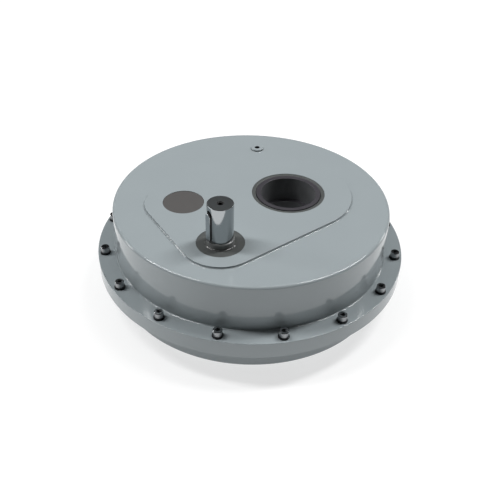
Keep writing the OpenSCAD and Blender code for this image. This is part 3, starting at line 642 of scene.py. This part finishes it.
lip_r = 16.4 * MM
input_steps = [(18.4 * MM, 0), (17.9 * MM, 0.3 * MM), (lip_r, 0.2 * MM), (16.1 * MM, -0.1 * MM),
               (15.8 * MM, -0.5 * MM), (15.5 * MM, -0.75 * MM), (15.1 * MM, -0.85 * MM)]
output_steps = [(39.6 * MM, 0), (39.2 * MM, 0.3 * MM), (38.1 * MM, 0.4 * MM)]
input_seal = shaft_seal(input_axis, "input_seal", input_seal_r, input_steps)
output_seal = shaft_seal(output_axis, "output_top_seal", output_seal_r, output_steps)
finish_mesh(input_seal, "input_lip_seal")
finish_mesh(output_seal, "output_lip_seal")

# %% Cap
cap_low, cap_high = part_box("intermediate_cap")
cap_edge, cap_wall, cap_hollow = 0.5 * MM, 2 * MM, 3 * MM
cap = plug(intermediate_axis, small_seat_r, cap_low.z, cap_high.z)
bpy.ops.object.mode_set(mode="EDIT")
pick(cap, "edges", above(cap_high.z))
bpy.ops.mesh.bevel(offset=cap_edge, segments=4, affect="EDGES")
pick(cap, "faces", flat_at(cap_low.z))
bpy.ops.mesh.inset(thickness=cap_wall)
grow_up(cap_hollow)
bpy.ops.object.mode_set(mode="OBJECT")
finish_mesh(cap, "rubber_covered_cap")

for piece, node, finish in ((filler, "filler_plug", "housing_paint"),
                            (filler_seal, "filler_plug_washer", "seal_rubber"),
                            (cap, "intermediate_cap", "seal_rubber"),
                            (input_seal, "input_seal", "seal_rubber"),
                            (output_seal, "output_top_seal", "seal_rubber")):
    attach(piece, "housing")
    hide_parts(node)

# %% [markdown]
# ## Key in the input shaft
# A key with round ends starts as a block. Bevelling the four edges that run outwards from the
# shaft by nearly half the key's width makes the ends round, and a second, small bevel breaks
# the edge of its outer face. It is then turned to the keyway's direction about the shaft's axis.

# %% Input key
key_low, key_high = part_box("input_key")
key_turn = math.radians(-155.5)         # the keyway's direction about the shaft's axis
key_w, key_rise = 8 * MM, 1 * MM        # width, and how far it stands above the solid's key
key_in, key_out = 10.9 * MM, 15.9 * MM  # its inner and outer face, from the shaft's axis
key_end_gap = 0.02 * MM                 # keeps the two roundings of an end from touching
key_edge = 0.7 * MM


def block(low, high):
    """A box between two corners."""
    low, high = Vector(low), Vector(high)
    bpy.ops.object.select_all(action="DESELECT")
    bpy.ops.mesh.primitive_cube_add(size=1, location=(low + high) / 2)
    bpy.context.object.scale = high - low
    bpy.ops.object.transform_apply(location=True, scale=True)
    return bpy.context.object


key = block((key_in, -key_w / 2, key_low.z), (key_out, key_w / 2, key_high.z + key_rise))
bpy.ops.object.mode_set(mode="EDIT")
corners = pick(key, "edges", lambda e: abs(e.verts[0].co.x - e.verts[1].co.x) > 1 * MM)
print("key corners:", corners)
bpy.ops.mesh.bevel(offset=key_w / 2 - key_end_gap, segments=12, affect="EDGES")
pick(key, "faces", lambda f: f.normal.x > 0.99)
bpy.ops.mesh.region_to_loop()
bpy.ops.mesh.bevel(offset=key_edge, segments=3, affect="EDGES")
bpy.ops.object.mode_set(mode="OBJECT")
key.rotation_euler.z = key_turn
key.location = (*input_axis, 0)
finish_mesh(key, "round_ended_input_key")

# %% [markdown]
# ## Hollow output shaft
# The hollow shaft is turned from a bar: a bearing seat at each end, a thicker seat for the wheel
# between them, and a collar the wheel stops against. It is welded from discs of those sizes, and
# then bored. The wide counterbore at its top keeps a nearly sharp edge, which leaves the broad
# flat ring that the eye sees inside the seal.

# %% Hollow shaft
shaft_low, shaft_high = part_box("output_hollow_shaft")
wheel_top_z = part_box("output_wheel")[1].z
lower_seat_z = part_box("output_low_bearing_inner_ring")[1].z
upper_seat_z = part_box("output_top_bearing_inner_ring")[0].z
wheel_key_low, wheel_key_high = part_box("output_key")
bearing_seat_r, wheel_seat_r, bore_r = 37.5 * MM, 40 * MM, 27.5 * MM
collar_r, collar_w = shaft_high.x - output_axis.x, 6 * MM
mouth_r, mouth_depth, mouth_round = 32 * MM, 30 * MM, 0.4 * MM
mouth_z = shaft_high.z - mouth_depth
keyway_half, keyway_reach = 8 * MM, 31.8 * MM
keyway_overlap, key_play = 0.1 * MM, 0.05 * MM

hollow = plug(output_axis, bearing_seat_r, shaft_low.z, shaft_high.z)
weld(hollow, plug(output_axis, wheel_seat_r, lower_seat_z, upper_seat_z))
weld(hollow, plug(output_axis, collar_r, wheel_top_z, wheel_top_z + collar_w))
cut(hollow, [plug(output_axis, bore_r, shaft_low.z - over, shaft_high.z + over)])
cut(hollow, [plug(output_axis, mouth_r, mouth_z, shaft_high.z + over)])
keyway_low = (output_axis.x - keyway_half, output_axis.y - keyway_reach, shaft_low.z - over)
keyway_high = (output_axis.x + keyway_half, output_axis.y, mouth_z + keyway_overlap)
seat_low = (wheel_key_low.x - key_play, wheel_key_low.y, lower_seat_z - over)
seat_high = (wheel_key_high.x + key_play, wheel_key_high.y + over, wheel_top_z - over)
cut(hollow, [block(keyway_low, keyway_high), block(seat_low, seat_high)])
bpy.ops.object.mode_set(mode="EDIT")


def in_mouth(place):
    """Say whether a place seen from above lies inside the counterbore's edge."""
    return (place - output_axis).length < mouth_r + 0.1 * MM


def mouth_edge(edge):
    """The edge where the counterbore meets the shaft's end."""
    return above(shaft_high.z)(edge) and all(in_mouth(v.co.xy) for v in edge.verts)


print("mouth edges:", pick(hollow, "edges", mouth_edge))
bpy.ops.mesh.bevel(offset=mouth_round, segments=2, affect="EDGES")
bpy.ops.object.mode_set(mode="OBJECT")
finish_mesh(hollow, "hollow_output_shaft")

for piece, node, body, finish in ((key, "input_key", "input", "bright_steel"),
                                  (hollow, "output_hollow_shaft", "output", "black_steel")):
    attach(piece, body)
    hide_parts(node)

# %% [markdown]
# ## Finishes
# Colours are written as sRGB hex values, as a paint chart gives them, and one function turns
# them to the linear values that the shader wants. Another small function adds a node with its
# settings and links, so each material reads as a list of what it is made of.

# %% Colour and node helpers
def srgb(code):
    """A hex colour as linear red, green, blue and alpha."""
    parts = [int(code[i:i + 2], 16) / 255 for i in (1, 3, 5)]
    return [c / 12.92 if c <= 0.04045 else ((c + 0.055) / 1.055) ** 2.4 for c in parts] + [1.0]


def add(material, kind, links=(), **settings):
    """Add a node, set its sockets and properties, and link other nodes' sockets to it."""
    node = material.node_tree.nodes.new("ShaderNode" + kind)
    for name, value in settings.items():
        if name in node.bl_rna.properties:
            setattr(node, name, value)
        else:
            node.inputs[name.replace("_", " ")].default_value = value
    for source, output, socket in links:
        material.node_tree.links.new(source.outputs[output], node.inputs[socket])
    return node


def new_material(name):
    """An empty node material."""
    material = bpy.data.materials.new(name)
    material.use_nodes = True
    material.node_tree.nodes.clear()
    return material


def finish_material(material, shader):
    """Send the shader to the output."""
    add(material, "OutputMaterial", [(shader, 0, 0)])
    return material


def mottled(name, dark, light, spot_mm, roughness, bump_mm, grain_mm, **surface):
    """A finish whose colour and gloss drift slowly in spots, with fine grain in its bump."""
    material = new_material(name)
    place = add(material, "TexCoord")
    spots = add(material, "TexNoise", [(place, "Object", "Vector")],
                Scale=1 / (spot_mm * MM), Detail=3.0)
    tint = add(material, "Mix", [(spots, 0, 0)], data_type="RGBA")
    tint.inputs[6].default_value, tint.inputs[7].default_value = srgb(dark), srgb(light)
    grain = add(material, "TexNoise", [(place, "Object", "Vector")],
                Scale=1 / (grain_mm * MM), Detail=2.0)
    bump = add(material, "Bump", [(grain, 0, "Height")], Distance=bump_mm * MM, Strength=0.5)
    gloss = add(material, "MapRange", [(spots, 0, 0)])
    gloss.inputs[3].default_value, gloss.inputs[4].default_value = roughness[0], roughness[1]
    shader = add(material, "BsdfPrincipled", [
        (tint, 2, "Base Color"), (gloss, 0, "Roughness"), (bump, 0, "Normal")], **surface)
    return finish_material(material, shader)


# %% [markdown]
# Each finish is one call: its name, two colours to drift between, the size of the spots in mm,
# the range of roughness, then the height and the size of the grain in mm. Real grinding marks
# and grit are finer than a picture of the whole reducer can show, so the grain is drawn coarser
# than they are, at 0.5 to 2.2 mm.

# %% Paint and steels
# Sprayed enamel: smooth enough to mirror a lamp as a thin line, with the long waves of a casting.
paint = mottled("grey_enamel_on_cast_iron", "#939B9E", "#979FA2", 60, (0.07, 0.09), 0.006, 2.2)
# Ground steel: the brightest metal, nearly a mirror.
bright = mottled("ground_steel", "#C4C6C8", "#CDCFD0", 20, (0.07, 0.11), 0.004, 0.8, Metallic=1.0)
# Case-hardened teeth: grey and satin, because hardening dulls what cutting left bright.
gear_steel = mottled("case_hardened_gear_steel", "#8B8D90", "#999B9D", 12, (0.28, 0.38), 0.01,
                     0.8, Metallic=1.0)
# Black oxide: nearly black, and only its edges catch the light.
black = mottled("black_oxide_steel", "#26282A", "#303234", 6, (0.30, 0.42), 0.02, 0.6,
                Metallic=0.8)
# Bare screw steel: small sharp glints on the knurl and round the socket.
screw_steel = mottled("plain_screw_steel", "#8C8E90", "#96989A", 5, (0.20, 0.26), 0.008, 0.5,
                      Metallic=1.0)
# Oil on turned steel: the end of the hollow shaft looks dark, a little purple and half dull.
hollow_steel = mottled("oiled_dark_shaft_steel", "#5E5C61", "#66646A", 14, (0.40, 0.48), 0.01,
                       0.8, Metallic=0.9)
# Bored steel: paler and duller than the end, so the bore reads as a soft grey wall.
bored_steel = mottled("dull_bored_steel", "#6C6E70", "#747678", 14, (0.5, 0.6), 0.01, 0.8,
                      Metallic=0.4)
# Machined brass: warm, and the only colour inside.
brass = mottled("machined_brass", "#B99A55", "#C7A862", 8, (0.2, 0.3), 0.01, 0.7, Metallic=1.0)

# %% Rubbers
# Nitrile rubber: dark and matt, without a clear highlight.
rubber = mottled("nitrile_rubber", "#3A3C3C", "#424444", 8, (0.55, 0.65), 0.03, 0.7)
# The cap's rubber is a shade browner, which parts it from the seals.
cap_rubber = mottled("brown_grey_cap_rubber", "#484645", "#4D4B4A", 10, (0.60, 0.70), 0.02, 0.8)
# The seals' rubber is a shade greener.
seal_rubber = mottled("green_grey_seal_rubber", "#424544", "#484B4A", 8, (0.50, 0.62), 0.03, 0.7)
# Where oil wets the lip, the same rubber shines.
lip_rubber = mottled("oiled_seal_lip", "#4A4C4B", "#505251", 8, (0.10, 0.14), 0.01, 0.7)
print("plain finishes:", len(bpy.data.materials))

# %% [markdown]
# ## Three surfaces on one shaft
# The input shaft is one piece of steel with three surfaces. Its seat is ground and mirrors what
# stands round it, its end is only faced in a lathe and looks a dull grey, and the collar by the
# seal is left dark from hardening. Height alone tells them apart: the seat starts above the
# collar, and the end starts where its chamfer does.

# %% Shaft steel
collar_top_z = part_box("input_key")[0].z - 0.25 * MM
end_chamfer = 0.4 * MM
end_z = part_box("input_pinion_shaft")[1].z - end_chamfer
# The last roughness here and the radius on the next line belong to the near-black painted shade
# in the centre hole.
collar_rough, seat_rough, end_extra_rough, hole_shade_rough = 0.26, 0.08, 0.22, 0.7
hole_shade_r = 3.9 * MM

shaft_steel = new_material("ground_faced_and_dark_shaft_steel")
place = add(shaft_steel, "TexCoord")
height = add(shaft_steel, "SeparateXYZ", [(place, "Object", 0)])
seat = add(shaft_steel, "Math", [(height, "Z", 0)], operation="GREATER_THAN")
seat.inputs[1].default_value = collar_top_z
end = add(shaft_steel, "Math", [(height, "Z", 0)], operation="GREATER_THAN")
end.inputs[1].default_value = end_z
tint = add(shaft_steel, "Mix", [(seat, 0, 0)], data_type="RGBA")
tint.inputs[6].default_value, tint.inputs[7].default_value = srgb("#7A7C7C"), srgb("#A6AAAC")
ground = add(shaft_steel, "MapRange", [(seat, 0, 0)])
ground.inputs[3].default_value, ground.inputs[4].default_value = collar_rough, seat_rough
faced = add(shaft_steel, "Math", [(end, 0, 0), (ground, 0, 2)], operation="MULTIPLY_ADD")
faced.inputs[1].default_value = end_extra_rough
dull = add(shaft_steel, "Mix", [(end, 0, 0), (tint, 2, 6)], data_type="RGBA")
dull.inputs[7].default_value = srgb("#9DA2A4")

# %% Painted shade in the centre hole
# Out to just past its countersink, the centre hole is painted near black, matt and not metal:
# painted shade in the hole.
aside = add(shaft_steel, "VectorMath", [(place, "Object", 0)], operation="SUBTRACT")
aside.inputs[1].default_value = (*input_axis, 0)
flat_aside = add(shaft_steel, "VectorMath", [(aside, 0, 0)], operation="MULTIPLY")
flat_aside.inputs[1].default_value = (1, 1, 0)
apart = add(shaft_steel, "VectorMath", [(flat_aside, 0, 0)], operation="LENGTH")
outside_hole = add(shaft_steel, "Math", [(apart, "Value", 0)], operation="GREATER_THAN")
outside_hole.inputs[1].default_value = hole_shade_r
tint_with_hole_shade = add(shaft_steel, "Mix", [(outside_hole, 0, 0), (dull, 2, 7)], data_type="RGBA")
tint_with_hole_shade.inputs[6].default_value = srgb("#101112")
metal = add(shaft_steel, "Math", [(seat, 0, 0), (outside_hole, 0, 1)], operation="MULTIPLY")
rough = add(shaft_steel, "Mix", [(outside_hole, 0, 0), (faced, 0, 3)])
rough.inputs[2].default_value = hole_shade_rough
grain = add(shaft_steel, "TexNoise", [(place, "Object", "Vector")],
            Scale=1 / (0.8 * MM), Detail=2.0)
bump = add(shaft_steel, "Bump", [(grain, 0, "Height")], Distance=0.004 * MM, Strength=0.5)
finish_material(shaft_steel, add(shaft_steel, "BsdfPrincipled", [
    (tint_with_hole_shade, 2, "Base Color"), (rough, 0, "Roughness"), (bump, 0, "Normal"),
    (metal, 0, "Metallic")]))
print("shaft's end starts at", round(end_z / MM, 2), "mm, its seat at",
      round(collar_top_z / MM, 2), "mm")

# %% [markdown]
# ## Painted shade beside the key
# The key's outer face is about as bright as the shaft, but its sides are painted near black and
# matt, as painted shade for the gap between key and keyway, which draws a thin dark line down the
# shaft.
# The face is what lies farthest out in the keyway's direction, and it takes in the first part of
# its rounded edge.

# %% Key steel
face_depth = 0.28 * MM
key_way = Vector((math.cos(key_turn), math.sin(key_turn), 0))
face_reach = key_way.xy.dot(input_axis) + key_out - face_depth

key_steel = new_material("bright_key_steel_with_painted_shade_sides")
place = add(key_steel, "TexCoord")
outward = add(key_steel, "VectorMath", [(place, "Object", 0)], operation="DOT_PRODUCT")
outward.inputs[1].default_value = key_way
on_face = add(key_steel, "Math", [(outward, "Value", 0)], operation="GREATER_THAN")
on_face.inputs[1].default_value = face_reach
# The near black on the key's sides is painted shade; the outer face keeps the key's bright steel.
tint = add(key_steel, "Mix", [(on_face, 0, 0)], data_type="RGBA")
tint.inputs[6].default_value, tint.inputs[7].default_value = srgb("#17191A"), srgb("#AFB3B6")
gloss = add(key_steel, "MapRange", [(on_face, 0, 0)])
gloss.inputs[3].default_value, gloss.inputs[4].default_value = 0.5, 0.12
finish_material(key_steel, add(key_steel, "BsdfPrincipled", [
    (tint, 2, "Base Color"), (gloss, 0, "Roughness"), (on_face, 0, "Metallic")]))
print("the key's bright face is its outer", round(face_depth / MM, 2), "mm")

# %% [markdown]
# ## Dressing the parts
# The hidden parts take their finish from the slot that the frame gave them. The pieces made
# here are dressed by a list, and three of them get a second finish on part of their faces.

# %% Dress the frame's own parts
slot_finish = {"housing_paint": paint, "bright_steel": bright, "gear_steel": gear_steel,
               "black_steel": black, "seal_rubber": rubber, "cage_brass": brass}
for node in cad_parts.values():
    for socket in node.material_slots:
        socket.material = slot_finish[socket.material.name.split(".")[0]]
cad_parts["input_pinion_shaft"].material_slots[0].material = shaft_steel

# %% Dress the pieces made here
pieces_by_finish = [(paint, [upper, lower, filler]), (screw_steel, fastener_pieces["screw"]),
                    (black, fastener_pieces["spring"] + fastener_pieces["flat"]),
                    (cap_rubber, [cap]), (seal_rubber, [input_seal, output_seal]),
                    (rubber, [filler_seal]), (key_steel, [key]), (hollow_steel, [hollow])]
for finish, pieces in pieces_by_finish:
    for piece in pieces:
        piece.data.materials.clear()
        piece.data.materials.append(finish)

# %% Second finishes
def second_finish(piece, finish, test):
    """Add a finish and give it to the faces that pass the test."""
    piece.data.materials.append(finish)
    chosen = [face for face in piece.data.polygons if test(face)]
    for face in chosen:
        face.material_index = 1
    print(piece.name, "faces in", finish.name + ":", len(chosen))


# The filler plug's socket gets the near-black steel finish, as painted shade in the recess.
socket_r, socket_rim, socket_floor = 3.4 * MM, 0.3 * MM, 5.5 * MM


def in_socket(face):
    """Say whether a face lies in the filler plug's socket."""
    return ((face.center.xy - filler_place).length < socket_r
            and filler_high.z - socket_floor < face.center.z < filler_high.z - socket_rim)


# The bore was cut later than the shaft's end and is not so dark, and oil wets the seal's lip.
second_finish(hollow, bored_steel, lambda f: f.normal.z < 0.5 and in_mouth(f.center.xy))
second_finish(input_seal, lip_rubber, lambda f: (f.center.xy - input_axis).length < lip_r)
second_finish(filler, black, in_socket)

# %% [markdown]
# ## Floor
# The reducer stands on a light table, as small parts do in a catalogue studio. The table glows
# by itself, so the shadows on it stay faint, and it throws light up at the sides.

# %% Floor
floor_size, floor_gap, floor_glow = 8, 0.2 * MM, 0.65
bpy.ops.object.select_all(action="DESELECT")
bpy.ops.mesh.primitive_plane_add(size=floor_size, location=(0, 0, cad_box[0][2] - floor_gap))
floor = bpy.context.object
floor.name = "studio_floor"
table_white = new_material("light_table_white")
floor.data.materials.append(finish_material(table_white, add(
    table_white, "BsdfPrincipled", Base_Color=srgb("#A8A8A8"), Roughness=1.0,
    Emission_Color=srgb("#FFFFFF"), Emission_Strength=floor_glow)))
print("floor at", round((cad_box[0][2] - floor_gap) / MM, 2), "mm")

# %% [markdown]
# ## Light
# Enamel is a weak mirror, so what stands round the object decides how its walls look. The room
# itself stays nearly dark. Two narrow boxes, high on the right and the left, light the top and
# run along the roundings, wide weak ones fill in from behind, above and the front, and two small
# low ones pick out the foot of the drum. None stands near 37 degrees of elevation, because the
# wall and the flange together would mirror it as a hot patch. Azimuth 0 is behind the object
# and 90 is to its right.

# %% Lights
world = bpy.data.worlds.new("dark_studio")
world.use_nodes = True
background = world.node_tree.nodes["Background"]
background.inputs["Color"].default_value = srgb("#C8CCD0")
background.inputs["Strength"].default_value = 0.02
bpy.context.scene.world = world
bpy.context.scene.view_settings.view_transform = "Standard"


def softbox(name, azimuth, elevation, size, power, distance=3.0):
    """A rectangle of light that faces the middle of the studio."""
    a, e = math.radians(azimuth), math.radians(elevation)
    away = Vector((math.sin(a) * math.cos(e), math.cos(a) * math.cos(e), math.sin(e)))
    bpy.ops.object.light_add(type="AREA", location=away * distance)
    light = bpy.context.object
    light.name = name
    light.data.shape = "RECTANGLE"
    light.data.size, light.data.size_y = size
    light.data.energy = power
    light.rotation_euler = away.to_track_quat("Z", "Y").to_euler()


for name, azimuth, elevation, size, power in (
        ("key_right", 76, 58, (0.42, 1.6), 58),
        ("key_left", 290, 58, (0.42, 1.6), 50),
        ("fill_behind", 0, 62, (2.0, 0.8), 9),
        ("fill_top", 0, 85, (1.2, 1.2), 6),
        ("fill_front_right", 130, 60, (1.0, 1.0), 2),
        ("low_right", 74, 18, (0.4, 0.7), 9),
        ("low_left", 294, 19, (0.4, 0.8), 13)):
    softbox(name, azimuth, elevation, size, power)
print("lamps:", len(bpy.data.lights))
